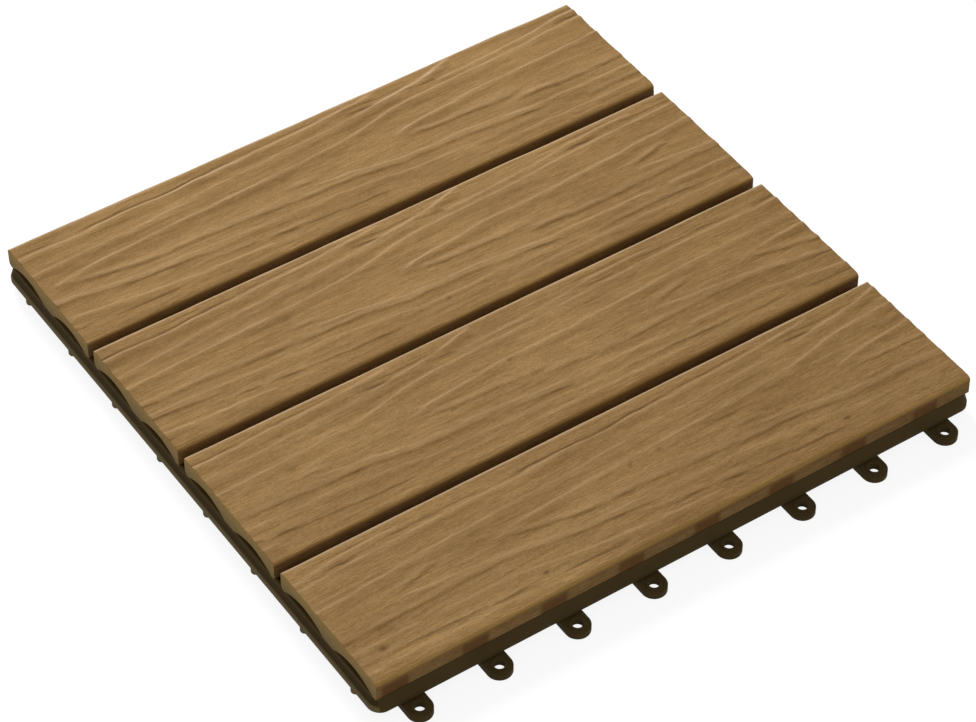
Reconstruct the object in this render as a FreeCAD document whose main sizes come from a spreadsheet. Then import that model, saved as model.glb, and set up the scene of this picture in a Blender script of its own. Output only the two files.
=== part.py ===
import FreeCAD, Part
import math
import os

import Sketcher

# Interlocking deck tile: four embossed composite slats screwed onto one moulded base.
# Frame: origin on the floor under the middle of the square tile, slats along X, +Z up, front at -Y.
# The front (-Y) and the right (+X) side carry eyelets. The left (-X) and the back (+Y) side carry
# pegs under a lip, which drop into a neighbour's eyelets.

SLAT_COUNT = 4
SCREWS_PER_SLAT = 4
LOCKS_PER_SIDE = 8
FEET_PER_ROW = 3
EDGE_TOLERANCE = 1e-4

# Driving dimensions in millimetres.
SIZES = {
    # Slats
    "slat_width": 69.8,
    "slat_gap": 5.2,
    "end_gap": 5,
    "slat_thickness": 10,
    "arch_depth": 4.2,
    "edge_foot": 2.5,
    "centre_foot": 7.5,
    "top_front_radius": 2,
    "top_back_radius": 1,
    "lower_back_radius": 2,
    "lower_front_radius": 0.6,
    # Rim, ribs and feet of the base
    "base_height": 12,
    "wall_thickness": 2,
    "shelf_thickness": 2,
    "rim_inset": 0.9,
    "rim_width": 3,
    "rim_corner_radius": 6,
    "shoulder_width": 1.7,
    "shoulder_height": 5.5,
    "eyelet_wall_inset": 5.4,
    "rib_thickness": 1.6,
    "rib_floor_gap": 3,
    "foot_diameter": 8,
    # Interlock: eyelets outside the module line, pegs as far inside it
    "lock_offset": 3,
    "eyelet_radius": 5.6,
    "eyelet_thickness": 3.4,
    "eyelet_hole": 4.8,
    "collar_width": 1.2,
    "collar_height": 0.4,
    "peg_clearance": 0.4,
    "peg_floor_gap": 1,
    "peg_end_radius": 1,
    "lip_clearance": 1.2,
    "tip_clearance": 0.6,
    # Screws from below
    "screw_diameter": 3.5,
    "screw_fit": 0.05,
    "screw_point": 2,
    "head_diameter": 7,
    "head_height": 2.2,
    "head_bevel": 0.5,
    "head_recess": 0.8,
    "head_clearance": 0.3,
    "drive_length": 4,
    "drive_width": 1.1,
    "drive_depth": 1.2,
    "shank_clearance": 0.25,
    "boss_wall": 1.5,
    "hole_cover": 2.5,
    "hole_end_clearance": 0.5,
}

# Places that follow from the sizes.
PITCH = "(sizes.slat_width + sizes.slat_gap)"
HALF_TILE = f"({SLAT_COUNT} * {PITCH} / 2)"
LOCK_PITCH = f"({HALF_TILE} * 2 / {LOCKS_PER_SIDE})"
SCREW_PITCH = f"({HALF_TILE} * 2 / {SCREWS_PER_SLAT})"
FIRST_LOCK = f"(({LOCKS_PER_SIDE} - 1) * {LOCK_PITCH} / 2)"
FIRST_SCREW = f"(({SCREWS_PER_SLAT} - 1) * {SCREW_PITCH} / 2)"
FIRST_SLAT = f"(({SLAT_COUNT} - 1) * {PITCH} / 2)"
FIRST_FOOT = f"(({FEET_PER_ROW} - 1) * {PITCH} / 2)"
RIM_FACE = f"({HALF_TILE} - sizes.rim_inset)"
EYELET_LINE = f"({HALF_TILE} + sizes.lock_offset)"
PEG_LINE = f"({HALF_TILE} - sizes.lock_offset)"
EYELET_REACH = f"({PEG_LINE} - sizes.eyelet_radius)"
PEG_WALL = f"({EYELET_REACH} - sizes.tip_clearance)"
EYELET_WALL = f"({HALF_TILE} - sizes.eyelet_wall_inset)"
LIP_UNDERSIDE = "(sizes.eyelet_thickness + sizes.lip_clearance)"
PEG_RADIUS = "(sizes.eyelet_hole / 2 - sizes.peg_clearance)"
HALF_WALL = "(sizes.wall_thickness / 2)"
HEAD_SEAT = "(sizes.head_recess + sizes.head_height)"
BOSS_RADIUS = "(sizes.head_diameter / 2 + sizes.head_clearance + sizes.boss_wall)"

# Lines in the middle of the rim and of the inner walls, where shelf, ribs and eyelets end inside them.
RIM_MIDDLE = f"({RIM_FACE} - sizes.rim_width / 2)"
PEG_WALL_MIDDLE = f"({PEG_WALL} - {HALF_WALL})"
EYELET_WALL_MIDDLE = f"({EYELET_WALL} - {HALF_WALL})"


def make_sheet(doc):
    sheet = doc.addObject("Spreadsheet::Sheet", "sizes")
    for row, (alias, size) in enumerate(SIZES.items(), start=1):
        sheet.set(f"A{row}", alias)
        sheet.set(f"B{row}", str(size))
        sheet.setAlias(f"B{row}", alias)
    doc.recompute()


def new_body(doc, label):
    body = doc.addObject("PartDesign::Body", label)
    body.Label = label
    return body


def origin_part(body, role):
    return next(part for part in body.Origin.OriginFeatures if part.Role == role)


def new_sketch(body, name, plane, turn=0, **offsets):
    """Sketch on one of the body's origin planes, shifted by named offsets and turned about its normal."""
    sketch = body.newObject("Sketcher::SketchObject", name)
    sketch.AttachmentSupport = (origin_part(body, plane), [""])
    sketch.MapMode = "FlatFace"
    sketch.AttachmentOffset = FreeCAD.Placement(FreeCAD.Vector(), FreeCAD.Rotation(turn, 0, 0))
    for axis, expression in offsets.items():
        sketch.setExpression(f"AttachmentOffset.Base.{axis}", expression)
    return sketch


def bind(sketch, constraint, expression):
    index = sketch.addConstraint(constraint)
    sketch.setExpression(f"Constraints[{index}]", expression)


def join(sketch, before, after):
    sketch.addConstraint(Sketcher.Constraint("Coincident", before, 2, after, 1))


def hold(sketch, kind, geometry, point, expression):
    """Keep a point at a signed distance from the sketch's origin along one sketch axis."""
    place = sketch.evalExpression(expression)
    if place == 0:
        axis = -2 if kind == "DistanceX" else -1
        sketch.addConstraint(Sketcher.Constraint("PointOnObject", geometry, point, axis))
    elif place < 0:
        bind(sketch, Sketcher.Constraint(kind, geometry, point, -1, 1, -place), f"-({expression})")
    else:
        bind(sketch, Sketcher.Constraint(kind, -1, 1, geometry, point, place), expression)


def square_outline(sketch, corners):
    """Closed outline with sides along the sketch's axes, and an arc at each corner that has a radius.

    A corner is (across, up, radius), each one an expression, and radius is None at a sharp corner.
    """
    number = sketch.evalExpression
    spots = [FreeCAD.Vector(number(across), number(up), 0) for across, up, _ in corners]
    radii = [number(radius) if radius else 0 for _, _, radius in corners]
    following = [index + 1 - len(corners) for index in range(len(corners))]
    ways = [(spots[after] - spot).normalize() for spot, after in zip(spots, following)]
    lines = []
    for spot, way, radius, after in zip(spots, ways, radii, following):
        side = Part.LineSegment(spot + way * radius, spots[after] - way * radii[after])
        lines.append(sketch.addGeometry(side))
    for index, (across, up, radius) in enumerate(corners):
        upright = abs(ways[index].y) > abs(ways[index].x)
        sketch.addConstraint(Sketcher.Constraint("Vertical" if upright else "Horizontal", lines[index]))
        hold(sketch, "DistanceX" if upright else "DistanceY", lines[index], 1, across if upright else up)
        if radius is None:
            join(sketch, lines[index - 1], lines[index])
        else:
            round_corner(sketch, spots[index], ways[index - 1], ways[index], lines, index, radius)


def round_corner(sketch, spot, way_in, way_out, lines, index, radius):
    """Quarter arc between two sides that meet at a spot, drawn anticlockwise."""
    reach = sketch.evalExpression(radius)
    left_turn = way_in.cross(way_out).z > 0
    begin = -way_out if left_turn else way_in
    circle = Part.Circle(spot + (way_out - way_in) * reach, FreeCAD.Vector(0, 0, 1), reach)
    angle = math.atan2(begin.y, begin.x)
    arc = sketch.addGeometry(Part.ArcOfCircle(circle, angle, angle + math.pi / 2))
    first, last = (1, 2) if left_turn else (2, 1)
    sketch.addConstraint(Sketcher.Constraint("Tangent", lines[index - 1], 2, arc, first))
    sketch.addConstraint(Sketcher.Constraint("Tangent", arc, last, lines[index], 1))
    bind(sketch, Sketcher.Constraint("Radius", arc, reach), radius)


def circle_at_origin(sketch, radius):
    reach = sketch.evalExpression(radius)
    circle = sketch.addGeometry(Part.Circle(FreeCAD.Vector(), FreeCAD.Vector(0, 0, 1), reach))
    sketch.addConstraint(Sketcher.Constraint("Coincident", circle, 3, -1, 1))
    bind(sketch, Sketcher.Constraint("Radius", circle, reach), radius)


def pad(body, name, sketch, length):
    feature = body.newObject("PartDesign::Pad", name)
    feature.Profile = sketch
    feature.setExpression("Length", length)
    return feature


def pocket_upwards(body, name, sketch, depth):
    feature = body.newObject("PartDesign::Pocket", name)
    feature.Profile = sketch
    feature.Reversed = True
    feature.setExpression("Length", depth)
    return feature


def revolve(body, name, sketch):
    """Turn a profile once around the vertical axis of its own sketch."""
    feature = body.newObject("PartDesign::Revolution", name)
    feature.Profile = sketch
    feature.ReferenceAxis = (sketch, ["V_Axis"])
    feature.Angle = 360
    return feature


def repeat(body, name, features, *rows):
    """Copies of features along one or two of the body's axes; a row is (axis, copies, pitch)."""
    pattern = body.newObject("PartDesign::LinearPattern", name)
    pattern.Originals = features
    for suffix, (axis, copies, pitch) in zip(("", "2"), rows):
        setattr(pattern, "Direction" + suffix, (origin_part(body, axis), [""]))
        setattr(pattern, "Occurrences" + suffix, copies)
        pattern.setExpression("Length" + suffix, f"{copies - 1} * {pitch}")
    body.Tip = pattern
    return pattern


def round_long_edge(doc, body, name, across, up, radius):
    """Fillet on the edge that runs along X at a given place of the section."""
    doc.recompute()
    base = body.Tip
    place = (body.evalExpression(across), body.evalExpression(up))
    edges = [
        f"Edge{number}"
        for number, edge in enumerate(base.Shape.Edges, start=1)
        if all(math.dist((vertex.Y, vertex.Z), place) < EDGE_TOLERANCE for vertex in edge.Vertexes)
    ]
    fillet = body.newObject("PartDesign::Fillet", name)
    fillet.Base = (base, edges)
    fillet.setExpression("Radius", radius)


def ring_outline(sketch, peg_side, eyelet_side, radius=None):
    """Outline around the tile, with its own distance on the peg sides and on the eyelet sides."""
    square_outline(sketch, [
        (f"-{peg_side}", f"-{eyelet_side}", radius),
        (eyelet_side, f"-{eyelet_side}", radius),
        (eyelet_side, peg_side, radius),
        (f"-{peg_side}", peg_side, radius),
    ])


def make_inner_wall(body):
    """Wall that stands on the floor, with a shelf above the room for the eyelets and pegs."""
    wall = new_sketch(body, "inner_wall_outline", "XY_Plane")
    ring_outline(wall, PEG_WALL, EYELET_WALL)
    ring_outline(wall, f"({PEG_WALL} - sizes.wall_thickness)", f"({EYELET_WALL} - sizes.wall_thickness)")
    pad(body, "inner_wall", wall, "sizes.base_height")
    shelf = new_sketch(body, "shelf_outline", "XY_Plane", z=LIP_UNDERSIDE)
    ring_outline(shelf, RIM_MIDDLE, RIM_MIDDLE, "sizes.rim_corner_radius - sizes.rim_width / 2")
    ring_outline(shelf, PEG_WALL_MIDDLE, EYELET_WALL_MIDDLE)
    pad(body, "shelf", shelf, "sizes.shelf_thickness")


def make_rim(doc, body):
    """Skirt with round corners that hangs at the shelf's edge and slopes in below the slats."""
    outline = new_sketch(body, "rim_outline", "XY_Plane", z=LIP_UNDERSIDE)
    inside = f"({RIM_FACE} - sizes.rim_width)"
    ring_outline(outline, RIM_FACE, RIM_FACE, "sizes.rim_corner_radius")
    ring_outline(outline, inside, inside, "sizes.rim_corner_radius - sizes.rim_width")
    rim = pad(body, "rim", outline, f"sizes.base_height - {LIP_UNDERSIDE}")
    doc.recompute()
    face = body.evalExpression(RIM_FACE)
    height = body.evalExpression("sizes.base_height")
    edges = [
        f"Edge{number}"
        for number, edge in enumerate(rim.Shape.Edges, start=1)
        if all(
            abs(vertex.Z - height) < EDGE_TOLERANCE
            and abs(max(abs(vertex.X), abs(vertex.Y)) - face) < EDGE_TOLERANCE
            for vertex in edge.Vertexes
        )
    ]
    shoulder = body.newObject("PartDesign::Chamfer", "shoulder")
    shoulder.Base = (rim, edges)
    shoulder.ChamferType = "Two distances"
    shoulder.FlipDirection = True
    shoulder.setExpression("Size", "sizes.shoulder_width")
    shoulder.setExpression("Size2", "sizes.shoulder_height")


def make_ribs(body):
    """Lattice of upright ribs that ends inside the walls and stays clear of the floor."""
    half_rib = "(sizes.rib_thickness / 2)"
    height = "sizes.base_height - sizes.rib_floor_gap"
    cross_rib = new_sketch(body, "cross_rib_plan", "XY_Plane", x=f"-{FIRST_LOCK}", z="sizes.rib_floor_gap")
    square_outline(cross_rib, [
        (f"-{half_rib}", f"-{EYELET_WALL_MIDDLE}", None),
        (half_rib, f"-{EYELET_WALL_MIDDLE}", None),
        (half_rib, PEG_WALL_MIDDLE, None),
        (f"-{half_rib}", PEG_WALL_MIDDLE, None),
    ])
    first = pad(body, "cross_rib", cross_rib, height)
    repeat(body, "cross_ribs", [first], ("X_Axis", 2 * LOCKS_PER_SIDE - 1, f"({LOCK_PITCH} / 2)"))
    first_row = f"-({FIRST_LOCK} - {LOCK_PITCH} / 2)"
    long_rib = new_sketch(body, "long_rib_plan", "XY_Plane", y=first_row, z="sizes.rib_floor_gap")
    square_outline(long_rib, [
        (f"-{PEG_WALL_MIDDLE}", f"-{half_rib}", None),
        (EYELET_WALL_MIDDLE, f"-{half_rib}", None),
        (EYELET_WALL_MIDDLE, half_rib, None),
        (f"-{PEG_WALL_MIDDLE}", half_rib, None),
    ])
    first = pad(body, "long_rib", long_rib, height)
    repeat(body, "long_ribs", [first], ("Y_Axis", LOCKS_PER_SIDE - 1, LOCK_PITCH))


def make_feet_and_bosses(body):
    """Round feet where ribs cross, and a boss that reaches the floor for every screw."""
    foot = new_sketch(body, "foot_plan", "XY_Plane", x=f"-{FIRST_FOOT}", y=f"-{FIRST_FOOT}")
    circle_at_origin(foot, "sizes.foot_diameter / 2")
    first = pad(body, "foot", foot, "sizes.rib_floor_gap")
    repeat(body, "feet", [first], ("X_Axis", FEET_PER_ROW, PITCH), ("Y_Axis", FEET_PER_ROW, PITCH))
    boss = new_sketch(body, "boss_plan", "XY_Plane", x=f"-{FIRST_SCREW}", y=f"-{FIRST_SLAT}")
    circle_at_origin(boss, BOSS_RADIUS)
    first = pad(body, "boss", boss, "sizes.base_height")
    repeat(
        body, "bosses", [first], ("X_Axis", SCREWS_PER_SLAT, SCREW_PITCH), ("Y_Axis", SLAT_COUNT, PITCH)
    )


def make_bores(body):
    """Bore with a counterbore from below through every boss."""
    plan = new_sketch(body, "bore_plan", "XY_Plane", x=f"-{FIRST_SCREW}", y=f"-{FIRST_SLAT}")
    circle_at_origin(plan, "sizes.screw_diameter / 2 + sizes.shank_clearance")
    body.Document.recompute()
    bore = body.newObject("PartDesign::Hole", "bore")
    bore.Profile = plan
    bore.Reversed = True
    bore.DepthType = "ThroughAll"
    bore.HoleCutType = "Counterbore"
    bore.HoleCutCustomValues = True
    bore.setExpression("Diameter", "sizes.screw_diameter + 2 * sizes.shank_clearance")
    bore.setExpression("HoleCutDiameter", "sizes.head_diameter + 2 * sizes.head_clearance")
    bore.setExpression("HoleCutDepth", HEAD_SEAT)
    repeat(
        body, "bores", [bore], ("X_Axis", SCREWS_PER_SLAT, SCREW_PITCH), ("Y_Axis", SLAT_COUNT, PITCH)
    )


def make_eyelets(body, side, turn, place, axis):
    """Row of flat tabs with a round end, a hole and a raised collar, flush with the floor."""
    plan = new_sketch(body, f"{side}_eyelet_plan", "XY_Plane", turn=turn, **place)
    number = plan.evalExpression
    root = f"{EYELET_LINE} - {EYELET_WALL_MIDDLE}"
    reach = number("sizes.eyelet_radius")
    depth = number(root)
    nose = Part.ArcOfCircle(
        Part.Circle(FreeCAD.Vector(), FreeCAD.Vector(0, 0, 1), reach), math.pi, 2 * math.pi
    )
    corners = [(reach, 0), (reach, depth), (-reach, depth), (-reach, 0)]
    spots = [FreeCAD.Vector(across, up, 0) for across, up in corners]
    arc = plan.addGeometry(nose)
    right, top, left = [plan.addGeometry(Part.LineSegment(*ends)) for ends in zip(spots, spots[1:])]
    plan.addConstraint(Sketcher.Constraint("Coincident", arc, 3, -1, 1))
    bind(plan, Sketcher.Constraint("Radius", arc, reach), "sizes.eyelet_radius")
    plan.addConstraint(Sketcher.Constraint("Tangent", arc, 2, right, 1))
    plan.addConstraint(Sketcher.Constraint("Tangent", left, 2, arc, 1))
    join(plan, right, top)
    join(plan, top, left)
    plan.addConstraint(Sketcher.Constraint("Horizontal", top))
    plan.addConstraint(Sketcher.Constraint("Vertical", right))
    plan.addConstraint(Sketcher.Constraint("Vertical", left))
    hold(plan, "DistanceY", top, 1, root)
    circle_at_origin(plan, "sizes.eyelet_hole / 2")
    tab_thickness = "sizes.eyelet_thickness - sizes.collar_height"
    tab = pad(body, f"{side}_eyelet", plan, tab_thickness)
    ring = new_sketch(body, f"{side}_collar_plan", "XY_Plane", **place, z=tab_thickness)
    circle_at_origin(ring, "sizes.eyelet_hole / 2")
    circle_at_origin(ring, "sizes.eyelet_hole / 2 + sizes.collar_width")
    collar = pad(body, f"{side}_collar", ring, "sizes.collar_height")
    repeat(body, f"{side}_eyelets", [tab, collar], (axis, LOCKS_PER_SIDE, LOCK_PITCH))


def make_pegs(body, side, across, along, axis):
    """Row of pegs with a rounded end, which hang from the shelf and stay clear of the floor."""
    profile = new_sketch(body, f"{side}_peg_profile", "XZ_Plane", x=across, z=f"-({along})")
    top = f"{LIP_UNDERSIDE} + sizes.shelf_thickness / 2"
    square_outline(profile, [
        ("0", "sizes.peg_floor_gap", None),
        (PEG_RADIUS, "sizes.peg_floor_gap", "sizes.peg_end_radius"),
        (PEG_RADIUS, top, None),
        ("0", top, None),
    ])
    peg = revolve(body, f"{side}_peg", profile)
    repeat(body, f"{side}_pegs", [peg], (axis, LOCKS_PER_SIDE, LOCK_PITCH))


def make_base_grid(doc):
    body = new_body(doc, "base_grid")
    make_inner_wall(body)
    make_rim(doc, body)
    make_eyelets(body, "front", 0, {"x": f"-{FIRST_LOCK}", "y": f"-{EYELET_LINE}"}, "X_Axis")
    make_eyelets(body, "right", 90, {"x": EYELET_LINE, "y": f"-{FIRST_LOCK}"}, "Y_Axis")
    make_pegs(body, "left", f"-{PEG_LINE}", f"-{FIRST_LOCK}", "Y_Axis")
    make_pegs(body, "back", f"-{FIRST_LOCK}", PEG_LINE, "X_Axis")
    make_feet_and_bosses(body)
    make_ribs(body)
    make_bores(body)
    doc.recompute()
    return body


def draw_slat_section(sketch):
    """Flat top over three feet, with a shallow arch between each pair of feet."""
    number = sketch.evalExpression
    half_width = "sizes.slat_width / 2"
    arch_foot = "(sizes.slat_width / 2 - sizes.edge_foot)"
    half_centre = "(sizes.centre_foot / 2)"
    chord = f"({arch_foot} - {half_centre})"
    arch_radius = f"(({chord} / 2) ^ 2 + sizes.arch_depth ^ 2) / (2 * sizes.arch_depth)"
    stations = [f"-({half_width})", f"-{arch_foot}", f"-{half_centre}", half_centre, arch_foot, half_width]
    feet = [FreeCAD.Vector(number(station), 0, 0) for station in stations]
    rise = FreeCAD.Vector(0, number("sizes.slat_thickness"), 0)
    crown = FreeCAD.Vector(0, number("sizes.arch_depth"), 0)
    edges = []
    for index, (start, end) in enumerate(zip(feet, feet[1:])):
        if index % 2:
            edge = Part.Arc(start, (start + end) / 2 + crown, end)
        else:
            edge = Part.LineSegment(start, end)
        edges.append(sketch.addGeometry(edge))
    corners = [feet[-1], feet[-1] + rise, feet[0] + rise, feet[0]]
    edges += [sketch.addGeometry(Part.LineSegment(*ends)) for ends in zip(corners, corners[1:])]
    left_foot, left_arch, centre_foot, right_arch, right_foot, right_side, top, left_side = edges
    for foot in (left_foot, centre_foot, right_foot):
        sketch.addConstraint(Sketcher.Constraint("PointOnObject", foot, 1, -1))
        sketch.addConstraint(Sketcher.Constraint("Horizontal", foot))
    for foot, start, end in zip((left_foot, centre_foot, right_foot), stations[::2], stations[1::2]):
        hold(sketch, "DistanceX", foot, 1, start)
        hold(sketch, "DistanceX", foot, 2, end)
    for arch, before, after in ((left_arch, left_foot, centre_foot), (right_arch, centre_foot, right_foot)):
        sketch.addConstraint(Sketcher.Constraint("Coincident", arch, 2, before, 2))
        sketch.addConstraint(Sketcher.Constraint("Coincident", arch, 1, after, 1))
        bind(sketch, Sketcher.Constraint("Radius", arch, number(arch_radius)), arch_radius)
    join(sketch, right_foot, right_side)
    join(sketch, right_side, top)
    join(sketch, top, left_side)
    join(sketch, left_side, left_foot)
    sketch.addConstraint(Sketcher.Constraint("Vertical", right_side))
    sketch.addConstraint(Sketcher.Constraint("Vertical", left_side))
    sketch.addConstraint(Sketcher.Constraint("Horizontal", top))
    hold(sketch, "DistanceY", top, 1, "sizes.slat_thickness")


def make_slat(doc, label, place):
    """Slat with its frame in the middle of its underside, bored from below for its screws."""
    body = new_body(doc, label)
    section = new_sketch(body, "section", "YZ_Plane")
    draw_slat_section(section)
    board = pad(body, "board", section, f"2 * {HALF_TILE} - sizes.end_gap")
    board.SideType = "Symmetric"
    half_width = "sizes.slat_width / 2"
    front, back = f"-({half_width})", half_width
    round_long_edge(doc, body, "top_front_round", front, "sizes.slat_thickness", "sizes.top_front_radius")
    round_long_edge(doc, body, "top_back_round", back, "sizes.slat_thickness", "sizes.top_back_radius")
    round_long_edge(doc, body, "lower_back_round", back, "0", "sizes.lower_back_radius")
    round_long_edge(doc, body, "lower_front_round", front, "0", "sizes.lower_front_radius")
    hole_plan = new_sketch(body, "screw_hole_plan", "XY_Plane", x=f"-{FIRST_SCREW}")
    circle_at_origin(hole_plan, "sizes.screw_diameter / 2 + sizes.screw_fit")
    hole = pocket_upwards(body, "screw_hole", hole_plan, "sizes.slat_thickness - sizes.hole_cover")
    repeat(body, "screw_holes", [hole], ("X_Axis", SCREWS_PER_SLAT, SCREW_PITCH))
    body.setExpression("Placement.Base.y", place)
    body.setExpression("Placement.Base.z", "sizes.base_height")
    doc.recompute()
    return body


def draw_screw_profile(sketch):
    """Half section of a pan-headed wood screw, head down, from the head's middle to the point."""
    shank_top = (
        "(sizes.base_height + sizes.slat_thickness - sizes.hole_cover"
        " - sizes.hole_end_clearance)"
    )
    head = "sizes.head_diameter / 2"
    shank = "sizes.screw_diameter / 2"
    corners = [
        ("0", "sizes.head_recess"),
        (f"{head} - sizes.head_bevel", "sizes.head_recess"),
        (head, "sizes.head_recess + sizes.head_bevel"),
        (head, HEAD_SEAT),
        (shank, HEAD_SEAT),
        (shank, f"{shank_top} - sizes.screw_point"),
        ("0", shank_top),
    ]
    number = sketch.evalExpression
    spots = [FreeCAD.Vector(number(across), number(up), 0) for across, up in corners]
    lines = [
        sketch.addGeometry(Part.LineSegment(spot, spots[index + 1 - len(spots)]))
        for index, spot in enumerate(spots)
    ]
    for index, (across, up) in enumerate(corners):
        join(sketch, lines[index - 1], lines[index])
        hold(sketch, "DistanceX", lines[index], 1, across)
        hold(sketch, "DistanceY", lines[index], 1, up)


def make_screws(doc, label, place):
    """Row of screws for one slat, each with a cross-shaped drive recess in its head."""
    body = new_body(doc, label)
    profile = new_sketch(body, "screw_profile", "XZ_Plane", x=f"-{FIRST_SCREW}")
    draw_screw_profile(profile)
    screw = revolve(body, "screw", profile)
    drive_plan = new_sketch(body, "drive_plan", "XY_Plane", x=f"-{FIRST_SCREW}", z="sizes.head_recess")
    length = "(sizes.drive_length / 2)"
    width = "(sizes.drive_width / 2)"
    square_outline(drive_plan, [
        (f"-{width}", f"-{length}", None),
        (width, f"-{length}", None),
        (width, f"-{width}", None),
        (length, f"-{width}", None),
        (length, width, None),
        (width, width, None),
        (width, length, None),
        (f"-{width}", length, None),
        (f"-{width}", width, None),
        (f"-{length}", width, None),
        (f"-{length}", f"-{width}", None),
        (f"-{width}", f"-{width}", None),
    ])
    drive = pocket_upwards(body, "drive", drive_plan, "sizes.drive_depth")
    repeat(body, "screws", [screw, drive], ("X_Axis", SCREWS_PER_SLAT, SCREW_PITCH))
    body.setExpression("Placement.Base.y", place)
    doc.recompute()
    return body


def check_document(doc, bodies):
    """Stop before anything is written if a feature failed or a sub-part isn't a sound solid."""
    for item in doc.Objects:
        if "Invalid" in item.State or "Error" in item.State:
            raise RuntimeError(f"{item.Label}: {item.State}")
    for body in bodies:
        if body.Shape.isNull() or not body.Shape.isValid() or not body.Shape.Solids:
            raise RuntimeError(f"{body.Label}: no sound solid")


def main():
    doc = FreeCAD.newDocument("deck_tile")
    make_sheet(doc)
    bodies = [make_base_grid(doc)]
    for index in range(SLAT_COUNT):
        place = f"{FIRST_SLAT} - {index} * {PITCH}"
        bodies.append(make_slat(doc, f"slat_{index + 1}", place))
        bodies.append(make_screws(doc, f"screws_slat_{index + 1}", place))
    doc.recompute()
    check_document(doc, bodies)
    os.makedirs("parts", exist_ok=True)
    for body in bodies:
        body.Shape.exportStep(f"parts/{body.Label}.step")
        box = body.Shape.BoundBox
        print(f"{body.Label}: {len(body.Shape.Solids)} solids, {body.Shape.Volume:.1f} mm3, {box}")


main()
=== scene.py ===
import math

import bpy
import numpy as np
from mathutils import Matrix, Vector


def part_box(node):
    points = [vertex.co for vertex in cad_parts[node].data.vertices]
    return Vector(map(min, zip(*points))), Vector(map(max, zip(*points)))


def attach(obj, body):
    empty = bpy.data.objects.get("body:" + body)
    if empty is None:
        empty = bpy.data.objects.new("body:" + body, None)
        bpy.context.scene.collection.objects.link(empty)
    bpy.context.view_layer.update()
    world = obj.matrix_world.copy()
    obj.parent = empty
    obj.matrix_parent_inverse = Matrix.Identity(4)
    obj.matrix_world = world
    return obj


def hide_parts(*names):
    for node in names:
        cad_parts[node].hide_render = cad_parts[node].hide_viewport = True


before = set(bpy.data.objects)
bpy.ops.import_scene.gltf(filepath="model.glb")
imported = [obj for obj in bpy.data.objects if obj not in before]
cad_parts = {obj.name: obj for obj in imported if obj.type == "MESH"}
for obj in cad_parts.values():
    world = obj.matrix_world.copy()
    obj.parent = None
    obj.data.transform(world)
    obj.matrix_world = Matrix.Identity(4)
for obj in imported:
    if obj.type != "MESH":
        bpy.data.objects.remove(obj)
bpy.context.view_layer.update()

MM = 0.001

# Boards: steps of their surface, and the outline of their section in millimetres
SLAT_COUNT = 4
STEP_ALONG = 0.64
STEP_ACROSS = 0.45
TOP_FRONT_RADIUS = 2.0
TOP_BACK_RADIUS = 1.0
LOWER_BACK_RADIUS = 2.0
LOWER_FRONT_RADIUS = 0.6
EDGE_FOOT = 2.5
CENTRE_FOOT = 7.5
ARCH_DEPTH = 4.2
ROUND_STEPS = 5
ARCH_STEPS = 12
FOOT_STEPS = 2
SIDE_STEPS = 5
END_FACES = 2

# Cuts: one roll pattern repeats along all the boards, in millimetres. A board's cut is given as its place
# along the pattern, its shift, stretch and slant across it, and the strength of its relief and marks
PATTERN_LENGTH = 342.0
CUTS = (
    (0.0, 0.5, 1.005, 0.0, 1.35),
    (45.0, 0.3, 1.01, 0.0, 1.2),
    (89.0, 1.2, 1.005, 0.008, 0.9),
    (267.5, 1.2, 1.01, 0.0, 0.75),
)

# Relief: its depth in millimetres, the height that lies level with the board's top, and its fading down the
# board's sides, as shares of the thickness
EMBOSS_DEPTH = 0.66
TOP_LEVEL = 1.18
FADE_START = 0.72
FADE_SPAN = 0.28
FADE_CURVE = 0.7

# Ridges, in millimetres: reach and rise of the side that is steep, towards the back or the front, reach of
# the gentle side, distance of a lit crest from its line, taper of the ends, and smoothing of the lines
STEEP_SIDES = {"back": (0.9, 1.0), "front": (0.88, 0.9)}
GENTLE_REACH = 3.4
BACK_CREST_OFFSET = 1.0
END_TAPER = 7.0
LINE_SMOOTHING = 15

# Marks beside a ridge: the middle of the one on its steep side, a painted highlight if that side faces the
# back and painted shade if it faces the front, as a share of the reach, and the strength, offset and width of
# the one on its gentle side, painted shade in the furrow where the steep side is lit, else a painted lit band
SIDE_MIDDLE = 0.8
FURROW_SHADE_STRENGTH = 0.8
FURROW_SHADE_OFFSET = 3.3
FURROW_SHADE_WIDTH = 1.7
BAND_STRENGTH = 0.5
BAND_OFFSET = 1.7
BAND_WIDTH = 1.2

# Thin lines: width in millimetres, how whole they are, and how deep a crack is cut
CRACK_WIDTH = 0.48
CRACK_WHOLENESS = 0.2
CRACK_CUT = 0.35
GLEAM_WIDTH = 0.42
GLEAM_WHOLENESS = 0.1

# Noise of the pattern, as size and cells across and along it: the lines waver, the ridges' strength varies,
# and the surface swells a little, most of all near a board's long edges
SEED = 11
WAVERS = ((0.22, 9, 14), (0.20, 4, 5), (0.10, 3, 2.2))
MEAN_STRENGTH = 0.78
STRENGTH_NOISE = (0.40, 6, 8)
SWELLS = ((0.16, 6, 50), (0.12, 2.4, 18), (0.08, 1.4, 6))
EDGE_SWELL = (0.30, 1.0, 22)
EDGE_REACH = 4.0
SPARE_ROWS = 4

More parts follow.
